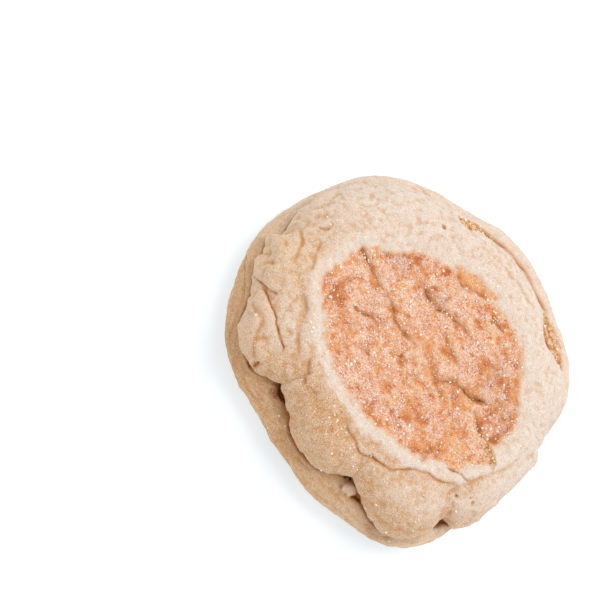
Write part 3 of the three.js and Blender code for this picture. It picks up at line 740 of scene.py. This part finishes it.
FLOURY = blots([(-15.4, -6.9, 3.6), (-4.4, 13.0, 3.6), (7.7, 12.0, 3.4), (-17.5, -0.4, 2.2), (22.4, 9.9, 3.0), (-3.6, -22.5, 3.2), (11.2, 6.7, 2.6),
                (15.1, -17.5, 3.4), (0.6, -19.7, 3.0), (-20.1, 6.9, 2.8), (-16.1, 12.8, 2.6), (-24.6, -5.2, 2.2), (-21.5, -10.6, 1.8), (-10.7, 8.4, 2.4),
                (-9.4, -12.1, 2.6), (4.4, -23.4, 2.4), (8.1, -20.0, 2.4), (28.4, 4.6, 2.0), (-4.3, 17.8, 2.2),
                (-17.5, 5.3, 3.0), (-22.0, 3.7, 2.4), (-12.0, 9.5, 2.6), (-25.0, -1.4, 2.2), (-15.1, -4.2, 2.6), (29.3, 5.2, 2.2), (-24.7, -13.3, 2.4)])
FLOURY = np.maximum(FLOURY, 0.45 * blots([(-9.0, 9.0, 9.0)]))
DUSK = blots([(24.6, 8.5, 4.0), (17.2, 13.5, 3.8), (28.6, 9.1, 3.0), (18.3, 8.1, 3.2), (-7.1, 9.5, 2.6), (-20.8, 6.9, 3.2)])

# =====================================================================
# meshes
# =====================================================================


def new_mesh(name, verts_mm, tris, smooth_shade=True):
    me = bpy.data.meshes.new(name)
    v = (np.asarray(verts_mm) + SHIFT) * MM
    me.vertices.add(len(v))
    me.vertices.foreach_set("co", v.astype(np.float32).ravel())
    t = np.asarray(tris, np.int32)
    me.loops.add(t.size)
    me.loops.foreach_set("vertex_index", t.ravel())
    me.polygons.add(len(t))
    me.polygons.foreach_set("loop_start", np.arange(0, t.size, 3, dtype=np.int32))
    me.polygons.foreach_set("loop_total", np.full(len(t), 3, np.int32))
    me.update(calc_edges=True)
    me.validate()
    me.polygons.foreach_set("use_smooth", np.full(len(t), smooth_shade))
    ob = bpy.data.objects.new(name, me)
    bpy.context.scene.collection.objects.link(ob)
    return ob


def attribute(ob, name, values):
    a = ob.data.attributes.new(name, "FLOAT", "POINT")
    a.data.foreach_set("value", np.asarray(values, np.float32))


body = new_mesh("muffin_crust", P, TRI)
attribute(body, "toast", TOASTED)
attribute(body, "cavity", CAVITY)
attribute(body, "tear", TEAR)
attribute(body, "tan", TAN)
attribute(body, "baked_and_shade", BAKED_AND_SHADE)
attribute(body, "streak", STREAK)
attribute(body, "lip_shade", LIP_SHADE)
attribute(body, "browner", BROWNER)
attribute(body, "golden", GOLDEN)
attribute(body, "bank", BANK)
attribute(body, "floury", FLOURY)
attribute(body, "dusk", DUSK)
attribute(body, "cream", CREAM)
attribute(body, "hollow_s", HOLLOW_S)
attribute(body, "hollow_l", HOLLOW_L)
attribute(body, "lost", LOST)

# =====================================================================
# grains: each a small closed pebble, half sunk in the crust
# =====================================================================

ICO_V = np.array([[0, 0, 1.0]] + [[math.cos(a) * 0.894, math.sin(a) * 0.894, 0.447] for a in np.arange(5) * 1.2566371]
                 + [[math.cos(a) * 0.894, math.sin(a) * 0.894, -0.447] for a in np.arange(5) * 1.2566371 + 0.6283185] + [[0, 0, -1.0]])
ICO_T = np.array([[0, 1 + i, 1 + (i + 1) % 5] for i in range(5)] + [[1 + i, 6 + i, 1 + (i + 1) % 5] for i in range(5)]
                 + [[1 + (i + 1) % 5, 6 + i, 6 + (i + 1) % 5] for i in range(5)] + [[11, 6 + (i + 1) % 5, 6 + i] for i in range(5)])
OCT_V = np.array([[1, 0, 0], [-1, 0, 0], [0, 1, 0], [0, -1, 0], [0, 0, 1], [0, 0, -1.0]])
OCT_T = np.array([[0, 2, 4], [2, 1, 4], [1, 3, 4], [3, 0, 4], [2, 0, 5], [1, 2, 5], [3, 1, 5], [0, 3, 5]])

tri_p = P[TRI]
tri_c = tri_p.mean(1)
tri_n = np.cross(tri_p[:, 1] - tri_p[:, 0], tri_p[:, 2] - tri_p[:, 0])
tri_a = 0.5 * np.linalg.norm(tri_n, axis=1)
tri_n /= (2 * tri_a + 1e-12)[:, None]
tri_deg, tri_sta = DEG[TRI].max(1), STA[TRI].mean(1)
tri_inside = inside[TRI].mean(1)
tri_tear = TEAR[TRI].max(1)
tri_cav = CAVITY[TRI].mean(1)


def scatter(name, count, lo, hi, skew, weight, shape, seed, sink=0.25, keep_up=0.0):
    rng = np.random.default_rng(seed)
    w = tri_a * weight
    w[tri_c[:, 2] < 1.4] = 0
    cum = np.cumsum(w)
    k = np.searchsorted(cum, rng.random(count) * cum[-1])
    u, v = rng.random(count), rng.random(count)
    flip = u + v > 1
    u[flip], v[flip] = 1 - u[flip], 1 - v[flip]
    a, b, c = tri_p[k, 0], tri_p[k, 1], tri_p[k, 2]
    at = a + (b - a) * u[:, None] + (c - a) * v[:, None]
    size = (lo + (hi - lo) * rng.random(count) ** skew) / 2
    sv, st = shape
    q = rng.normal(size=(count, 4))
    q /= np.linalg.norm(q, axis=1)[:, None]
    w_, x, y, z = q.T
    R = np.stack([np.stack([1 - 2 * (y * y + z * z), 2 * (x * y - z * w_), 2 * (x * z + y * w_)], -1),
                  np.stack([2 * (x * y + z * w_), 1 - 2 * (x * x + z * z), 2 * (y * z - x * w_)], -1),
                  np.stack([2 * (x * z - y * w_), 2 * (y * z + x * w_), 1 - 2 * (x * x + y * y)], -1)], 1)
    axes = 0.75 + 0.5 * rng.random((count, 1, 3))
    pts = sv[None] * axes * (0.82 + 0.36 * rng.random((count, len(sv), 1)))
    pts = np.einsum("nij,nkj->nki", R, pts) * size[:, None, None]
    at = at + tri_n[k] * (size * (1 - 2 * sink))[:, None]
    pts = pts + at[:, None, :]
    pts[:, :, 2] = np.maximum(pts[:, :, 2], 0.02)
    tris = st[None] + (np.arange(count) * len(sv))[:, None, None]
    ob = new_mesh(name, pts.reshape(-1, 3), tris.reshape(-1, 3), smooth_shade=True)
    attribute(ob, "tone", np.repeat(rng.random(count), len(sv)))
    return ob


def spot(at, radius):
    c = surface(np.array([at[0]]), np.array([at[1]]))[0]
    return np.exp(-(np.linalg.norm(tri_c - c, axis=1) / radius) ** 2)


on_toast = smooth(tri_inside, -0.8, 1.0) * (tri_sta > 12.5)
rim_band = np.exp(-((tri_inside + 1.0) / 1.8) ** 2) * (tri_sta > 12.5)
cap_part = (tri_sta > 10.5) * 1.0
clump = smooth(fbm(tri_c, 4.0, 2, 301), -0.1, 0.7)
clump2 = smooth(fbm(tri_c, 9.0, 2, 303), -0.5, 0.8)
marks = (60 * spot((285.5, 13.5), 1.2) + 34 * spot((277.5, 13.46), 1.3) + 9 * spot((268, 5.8), 2.2) + 8 * spot((186, 12.85), 1.5)
         + 8 * spot((171, 13.1), 1.5) + 4 * spot((318, 12.4), 4.0) + 3 * spot((292, 12.6), 4.0) + 5 * spot((247, 14.3), 3.0) + 4 * spot((232, 14.4), 2.5))
upward = np.clip(tri_n[:, 2], 0, 1)
coarse_w = (0.010 + 0.9 * on_toast * (0.25 + 1.3 * clump) * (1 + 5.0 * np.clip(tri_cav, 0, 0.5)) + 0.5 * rim_band * clump + 0.05 * cap_part * bell(tri_deg, 285, 60) + marks * 0.16
            + 0.7 * tri_tear) * (0.25 + 0.75 * upward) * (tri_c[:, 2] > 2) * (1 - 0.8 * np.clip((tri_cav - tri_tear) * (1 - 0.7 * on_toast), 0, 1))
fine_w = (0.02 + 0.8 * on_toast * (0.3 + clump2) + 0.5 * rim_band + 0.35 * cap_part * bell(tri_deg, 285, 60) + marks * 0.08
          + 0.5 * tri_tear) * (0.3 + 0.7 * upward) * (1 - 0.8 * np.clip(tri_cav - tri_tear, 0, 1))
dust_w = (0.03 + 2.2 * on_toast * (0.35 + 0.9 * smooth(-HOLLOW_L[TRI].mean(1), -0.7, 0.7)) + 0.5 * rim_band + 0.45 * cap_part * bell(tri_deg, 290, 50)) * (0.3 + 0.7 * upward)
coarse = scatter("semolina_coarse", 520, 0.36, 0.80, 2.0, coarse_w, (ICO_V, ICO_T), 5, sink=0.30)
finer = scatter("semolina_fine", 2600, 0.16, 0.34, 1.8, fine_w, (ICO_V, ICO_T), 6, sink=0.30)
dust = scatter("flour_specks", 22000, 0.10, 0.21, 1.3, dust_w, (OCT_V, OCT_T), 7, sink=0.25)

# =====================================================================
# materials
# =====================================================================


def srgb(r, g, b):
    f = lambda c: c / 12.92 if c <= 0.04045 else ((c + 0.055) / 1.055) ** 2.4
    return (f(r / 255), f(g / 255), f(b / 255), 1.0)


class Nodes:
    def __init__(self, name):
        self.mat = bpy.data.materials.new(name)
        self.mat.use_nodes = True
        self.t = self.mat.node_tree
        self.t.nodes.clear()
        self.out = self.t.nodes.new("ShaderNodeOutputMaterial")
        self.bsdf = self.t.nodes.new("ShaderNodeBsdfPrincipled")
        self.t.links.new(self.bsdf.outputs[0], self.out.inputs[0])
        self.obj = self.t.nodes.new("ShaderNodeTexCoord").outputs["Object"]

    def put(self, sock, v):
        if isinstance(v, bpy.types.NodeSocket):
            self.t.links.new(v, sock)
        else:
            sock.default_value = v

    def attr(self, name):
        n = self.t.nodes.new("ShaderNodeAttribute")
        n.attribute_name = name
        return n.outputs["Fac"]

    def math(self, op, a, b=0.0, c=0.0, clamp=False):
        n = self.t.nodes.new("ShaderNodeMath")
        n.operation = op
        n.use_clamp = clamp
        self.put(n.inputs[0], a)
        self.put(n.inputs[1], b)
        if op in ("MULTIPLY_ADD", "WRAP", "SMOOTH_MIN", "SMOOTH_MAX"):
            self.put(n.inputs[2], c)
        return n.outputs[0]

    def noise(self, size_mm, detail=2.0, rough=0.5, distort=0.0, vec=None, kind="FBM"):
        n = self.t.nodes.new("ShaderNodeTexNoise")
        n.inputs["Scale"].default_value = 1000.0 / size_mm
        n.inputs["Detail"].default_value = detail
        n.inputs["Roughness"].default_value = rough
        n.inputs["Distortion"].default_value = distort
        self.put(n.inputs["Vector"], vec if vec is not None else self.obj)
        return n.outputs["Fac"]

    def voronoi(self, size_mm, feature="F1", rand=1.0, out="Distance"):
        n = self.t.nodes.new("ShaderNodeTexVoronoi")
        n.feature = feature
        n.inputs["Scale"].default_value = 1000.0 / size_mm
        n.inputs["Randomness"].default_value = rand
        self.t.links.new(self.obj, n.inputs["Vector"])
        return n.outputs[out]

    def remap(self, v, a, b, c=0.0, d=1.0, kind="SMOOTHSTEP"):
        n = self.t.nodes.new("ShaderNodeMapRange")
        n.interpolation_type = kind
        self.put(n.inputs["Value"], v)
        for k, x in (("From Min", a), ("From Max", b), ("To Min", c), ("To Max", d)):
            n.inputs[k].default_value = x
        return n.outputs["Result"]

    def mix(self, f, a, b, mode="MIX"):
        n = self.t.nodes.new("ShaderNodeMix")
        n.data_type = "RGBA"
        n.blend_type = mode
        n.clamp_factor = True
        self.put(n.inputs[0], f)
        self.put(n.inputs[6], a)
        self.put(n.inputs[7], b)
        return n.outputs[2]

    def ramp(self, v, stops):
        n = self.t.nodes.new("ShaderNodeValToRGB")
        e = n.color_ramp.elements
        while len(e) > 1:
            e.remove(e[-1])
        e[0].position, e[0].color = stops[0]
        for p, c in stops[1:]:
            x = e.new(p)
            x.color = c
        self.put(n.inputs[0], v)
        return n.outputs[0]

    def bump(self, height, dist_mm, strength=1.0, normal=None):
        n = self.t.nodes.new("ShaderNodeBump")
        n.inputs["Strength"].default_value = strength
        n.inputs["Distance"].default_value = dist_mm * MM
        self.put(n.inputs["Height"], height)
        if normal is not None:
            self.put(n.inputs["Normal"], normal)
        return n.outputs[0]


PALE = srgb(226, 208, 193)
TAN_C = srgb(204, 160, 113)
BAKED_AND_SHADE_C = srgb(206, 163, 114)
GOLD_C = srgb(232, 194, 146)


def crust_material():
    m = Nodes("crust")
    toast, cav, tear, tan = m.attr("toast"), m.attr("cavity"), m.attr("tear"), m.attr("tan")
    low_s, low_l = m.attr("hollow_s"), m.attr("hollow_l")
    baked_and_shade, streak, lost = m.attr("baked_and_shade"), m.attr("streak"), m.attr("lost")
    big = m.noise(11, 3)
    mid = m.noise(3.0, 4, 0.6)
    small = m.noise(1.25, 4, 0.7)
    grit = m.noise(0.60, 3, 0.7)
    fine = m.noise(0.29, 2, 0.6)
    plain = m.math("SUBTRACT", m.math("SUBTRACT", 1.0, m.math("MULTIPLY", baked_and_shade, 0.42)), m.math("MULTIPLY", lost, 0.8), clamp=True)
    # crust away from the toasted faces
    f = m.math("ADD", tan, m.math("MULTIPLY", m.math("SUBTRACT", big, 0.5), 0.30))
    f = m.math("ADD", f, m.math("MULTIPLY", m.math("SUBTRACT", mid, 0.5), 0.28))
    # tan in the hollows: painted shade
    f = m.math("ADD", f, m.math("MULTIPLY", low_l, 0.17))
    f = m.math("ADD", f, m.math("MULTIPLY", low_s, 0.16), clamp=True)
    crust = m.mix(f, PALE, TAN_C)
    drawn = m.math("ADD", baked_and_shade, m.math("MULTIPLY", m.math("MULTIPLY", streak, baked_and_shade), 1.5), clamp=True)
    crust = m.mix(m.math("MULTIPLY", drawn, 0.9), crust, m.mix(m.remap(tan, 0.35, 0.85, 0.0, 1.0, "LINEAR"), GOLD_C, BAKED_AND_SHADE_C))
    pulled = m.math("MULTIPLY", m.remap(streak, 0.05, 0.45), m.math("MULTIPLY", baked_and_shade, 0.60))
    crust = m.mix(pulled, crust, srgb(230, 196, 156))
    blotch = m.math("MULTIPLY", m.remap(m.noise(2.4, 3, 0.65), 0.52, 0.64), m.math("MULTIPLY", baked_and_shade, 0.58))
    crust = m.mix(blotch, crust, srgb(186, 132, 78))
    amber = m.remap(m.math("ADD", small, m.math("MULTIPLY", low_s, 0.06)), 0.47, 0.64)
    amber = m.math("MULTIPLY", amber, m.math("MULTIPLY_ADD", tan, 0.30, 0.35))
    crust = m.mix(m.math("MULTIPLY", amber, plain), crust, srgb(224, 167, 110))
    white = m.remap(m.math("SUBTRACT", fine, m.math("MULTIPLY", low_s, 0.04)), 0.48, 0.56)
    white = m.math("MULTIPLY", white, m.remap(m.noise(2.2, 3, 0.6), 0.35, 0.62, 0.35, 0.85))
    flour_c = m.mix(m.math("MULTIPLY_ADD", tan, 2.2, -0.33, clamp=True), srgb(242, 231, 220), srgb(240, 210, 180))
    crust = m.mix(m.math("MULTIPLY", white, plain), crust, flour_c)
    speck = m.math("MULTIPLY", m.remap(m.noise(0.33, 2, 0.6), 0.535, 0.615), m.math("MULTIPLY_ADD", tan, 0.62, 0.28))
    crust = m.mix(m.math("MULTIPLY", speck, plain), crust, srgb(200, 134, 82))
    # painted shade where the lip overhangs the roll
    crust = m.mix(m.math("MULTIPLY", m.attr("lip_shade"), 0.80), crust, srgb(156, 104, 60))
    crust = m.mix(m.attr("cream"), crust, m.mix(1.0, crust, (0.99, 0.90, 0.77, 1), "MULTIPLY"))
    # toasted faces
    b = m.math("ADD", m.math("MULTIPLY", m.noise(3.4, 3, 0.6), 0.60), m.math("MULTIPLY", small, 0.40))
    # darker toast in the hollows: painted shade
    b = m.math("SUBTRACT", b, m.math("MULTIPLY", low_l, 0.06))
    b = m.math("SUBTRACT", b, m.math("MULTIPLY", low_s, 0.05))
    b = m.math("SUBTRACT", b, m.math("MULTIPLY", m.attr("browner"), 0.11))
    b = m.math("ADD", b, m.math("MULTIPLY", m.attr("golden"), 0.10))
    b = m.math("ADD", b, m.math("MULTIPLY", m.attr("bank"), 0.10))
    brown = m.ramp(b, [(0.32, srgb(192, 106, 50)), (0.42, srgb(216, 136, 72)), (0.53, srgb(230, 158, 98)), (0.68, srgb(240, 188, 132))])
    lying = m.math("SUBTRACT", m.noise(2.0, 3, 0.65), m.math("MULTIPLY", low_l, 0.08))
    lying = m.math("ADD", lying, m.math("MULTIPLY", m.attr("floury"), 0.16))
    lying = m.math("SUBTRACT", lying, m.math("MULTIPLY", m.attr("browner"), 0.15))
    lying = m.math("SUBTRACT", lying, m.math("MULTIPLY", m.attr("golden"), 0.06))
    frost = m.math("MULTIPLY", m.remap(m.math("ADD", m.math("MULTIPLY", fine, 0.65), m.math("MULTIPLY", grit, 0.35)), 0.455, 0.545), m.remap(lying, 0.38, 0.60, 0.10, 1.0))
    frost = m.math("MULTIPLY", frost, m.math("SUBTRACT", 1.0, m.math("MULTIPLY", m.attr("bank"), 0.85)))
    brown = m.mix(m.math("MULTIPLY", frost, 0.96), brown, srgb(245, 224, 214))
    brown = m.mix(m.math("MULTIPLY", m.remap(m.noise(0.34, 2, 0.6), 0.535, 0.605), 0.66), brown, srgb(196, 106, 54))
    brown = m.mix(m.math("MULTIPLY", m.attr("dusk"), 1.0, clamp=True), brown, m.mix(1.0, brown, (0.86, 0.91, 1.0, 1), "MULTIPLY"))
    toast = m.math("MAXIMUM", toast, m.math("MULTIPLY", m.attr("bank"), 0.72))
    edge = m.remap(m.math("ADD", toast, m.math("MULTIPLY", m.math("SUBTRACT", small, 0.5), 0.80)), 0.25, 0.90)
    halo = m.remap(m.math("ADD", toast, m.math("MULTIPLY", m.math("SUBTRACT", mid, 0.5), 0.6)), 0.02, 0.55)
    col = m.mix(m.math("MULTIPLY", halo, 0.45), crust, srgb(234, 178, 124))
    col = m.mix(edge, col, brown)
    # crumb in tears; painted shade: amber in creases, dark only in deep holes
    crumb = m.ramp(m.noise(0.95, 3, 0.65), [(0.38, srgb(178, 108, 54)), (0.46, srgb(214, 158, 98)), (0.53, srgb(238, 206, 164)), (0.62, srgb(248, 230, 206))])
    col = m.mix(tear, col, crumb)
    col = m.mix(m.math("MULTIPLY", m.remap(cav, 0.0, 0.7, 0.0, 1.0, "LINEAR"), 0.75, clamp=True), col, srgb(196, 134, 80))
    col = m.mix(m.math("MULTIPLY", m.remap(cav, 0.62, 1.1, 0.0, 1.0, "LINEAR"), 0.9, clamp=True), col, srgb(146, 90, 50))
    # small flecks of bran and drier skin on the roll
    bran = m.math("MULTIPLY", m.remap(m.noise(0.75, 2, 0.6), 0.56, 0.65), m.math("MULTIPLY", baked_and_shade, 0.62))
    col = m.mix(bran, col, srgb(206, 138, 82))
    dry = m.math("MULTIPLY", m.remap(m.noise(0.42, 2, 0.65), 0.53, 0.62), m.math("MULTIPLY", baked_and_shade, 0.75))
    col = m.mix(m.math("MULTIPLY", dry, plain), col, srgb(238, 208, 172))
    # painted warm shade in hollows and where nearby dough hides the sky
    painted_shade = m.math("ADD", m.math("MULTIPLY", low_l, 0.10), m.math("MULTIPLY", low_s, 0.15))
    painted_shade = m.math("ADD", painted_shade, m.math("MULTIPLY", lost, 1.3))
    painted_shade = m.math("MULTIPLY", painted_shade, m.math("SUBTRACT", 1.0, m.math("MULTIPLY", edge, 0.5)), clamp=True)
    col = m.mix(painted_shade, col, m.mix(1.0, col, (0.94, 0.80, 0.62, 1), "MULTIPLY"))
    m.put(m.bsdf.inputs["Base Color"], col)
    m.bsdf.inputs["Roughness"].default_value = 0.85
    m.bsdf.inputs["Specular IOR Level"].default_value = 0.2
    m.bsdf.inputs["Subsurface Weight"].default_value = 0.18
    m.bsdf.inputs["Subsurface Radius"].default_value = (1.0, 0.50, 0.25)
    m.bsdf.inputs["Subsurface Scale"].default_value = 0.0011
    h = m.math("ADD", m.math("MULTIPLY", grit, 0.5), m.math("MULTIPLY", small, 0.6))
    n1 = m.bump(h, 0.38, 1.0)
    n2 = m.bump(fine, 0.16, 1.0, n1)
    m.put(m.bsdf.inputs["Normal"], n2)
    return m.mat


def grain_material(name, stops, rough=0.45):
    m = Nodes(name)
    m.put(m.bsdf.inputs["Base Color"], m.ramp(m.attr("tone"), stops))
    m.bsdf.inputs["Roughness"].default_value = rough
    m.bsdf.inputs["Specular IOR Level"].default_value = 0.5
    m.bsdf.inputs["Subsurface Weight"].default_value = 0.25
    m.bsdf.inputs["Subsurface Radius"].default_value = (1.0, 0.7, 0.4)
    m.bsdf.inputs["Subsurface Scale"].default_value = 0.0006
    return m.mat


semolina = grain_material("semolina", [(0.0, srgb(236, 196, 136)), (0.12, srgb(246, 224, 180)), (0.35, srgb(252, 240, 218)), (0.8, srgb(255, 250, 238)), (1.0, srgb(255, 255, 250))])
flour = grain_material("flour", [(0.0, srgb(238, 200, 174)), (0.5, srgb(244, 216, 194)), (1.0, srgb(252, 236, 220))], 0.8)
for ob, mat in ((coarse, semolina), (finer, semolina), (dust, flour)):
    ob.data.materials.append(mat)
    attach(ob, "root")

body.data.materials.append(crust_material())
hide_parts("muffin")
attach(body, "root")

# =====================================================================
# floor, light, camera
# =====================================================================

fm = bpy.data.materials.new("floor")
fm.use_nodes = True
fb = fm.node_tree.nodes["Principled BSDF"]
fb.inputs["Base Color"].default_value = (0.54, 0.555, 0.57, 1)
fb.inputs["Roughness"].default_value = 0.9
fb.inputs["Specular IOR Level"].default_value = 0.0
fb.inputs["Emission Color"].default_value = (0.852, 0.948, 1, 1)
fb.inputs["Emission Strength"].default_value = 0.575
me = bpy.data.meshes.new("floor")
me.from_pydata([(-3, -3, 0), (3, -3, 0), (3, 3, 0), (-3, 3, 0)], [], [(0, 1, 2, 3)])
floor = bpy.data.objects.new("floor", me)
floor.data.materials.append(fm)
bpy.context.scene.collection.objects.link(floor)

scene = bpy.context.scene
scene.view_settings.view_transform = "Standard"
scene.view_settings.look = "None"
scene.view_settings.exposure = 0.0
scene.view_settings.gamma = 1.0
world = bpy.data.worlds.new("studio")
scene.world = world
world.use_nodes = True
bg = world.node_tree.nodes["Background"]
bg.inputs["Color"].default_value = (1.0, 1.0, 1.0, 1)
bg.inputs["Strength"].default_value = 0.79

# camera: looks down on the muffin from its front, turned as the photographed muffin is
EL, ROLLED, PXMM, DIST = 70.0, 58.0, 3.8, 700.0
AIM = (402.5, 352.5)             # where the axis at 12 mm height falls in a 600 x 600 frame
e, o = math.radians(EL), math.radians(ROLLED)
back = np.array([0, -math.cos(e), math.sin(e)])
up0 = np.array([0, math.sin(e), math.cos(e)])
right = np.array([1.0, 0, 0]) * math.cos(o) + up0 * math.sin(o)
up = -np.array([1.0, 0, 0]) * math.sin(o) + up0 * math.cos(o)
F = PXMM * DIST
eye = np.array([0, 0, 12.0]) + back * DIST - right * ((AIM[0] - 300) / F * DIST) + up * ((AIM[1] - 300) / F * DIST)
cam_data = bpy.data.cameras.new("camera")
cam_data.sensor_width = 36.0
cam_data.lens = 36.0 * F / 600.0
cam_data.clip_start, cam_data.clip_end = 0.01, 20.0
camera = bpy.data.objects.new("camera", cam_data)
loc = (eye + SHIFT) * MM
camera.matrix_world = Matrix([[right[0], up[0], back[0], loc[0]], [right[1], up[1], back[1], loc[1]],
                              [right[2], up[2], back[2], loc[2]], [0, 0, 0, 1]])
scene.collection.objects.link(camera)
scene.camera = camera


def area(name, direction, dist, size, energy, colour=(1, 1, 1)):
    d = np.array(direction, float)
    d /= np.linalg.norm(d)
    ld = bpy.data.lights.new(name, "AREA")
    ld.shape = "DISK"
    ld.size = size
    ld.energy = energy
    ld.color = colour
    ob = bpy.data.objects.new(name, ld)
    z = d
    x = np.cross([0, 0, 1.0], z)
    x /= np.linalg.norm(x)
    y = np.cross(z, x)
    l = d * dist
    ob.matrix_world = Matrix([[x[0], y[0], z[0], l[0]], [x[1], y[1], z[1], l[1]], [x[2], y[2], z[2], l[2]], [0, 0, 0, 1]])
    scene.collection.objects.link(ob)
    return ob


key = 0.56 * right + 0.28 * up + 0.75 * back
area("key", key, 1.2, 0.8, 6.6, (1.0, 0.99, 0.975))
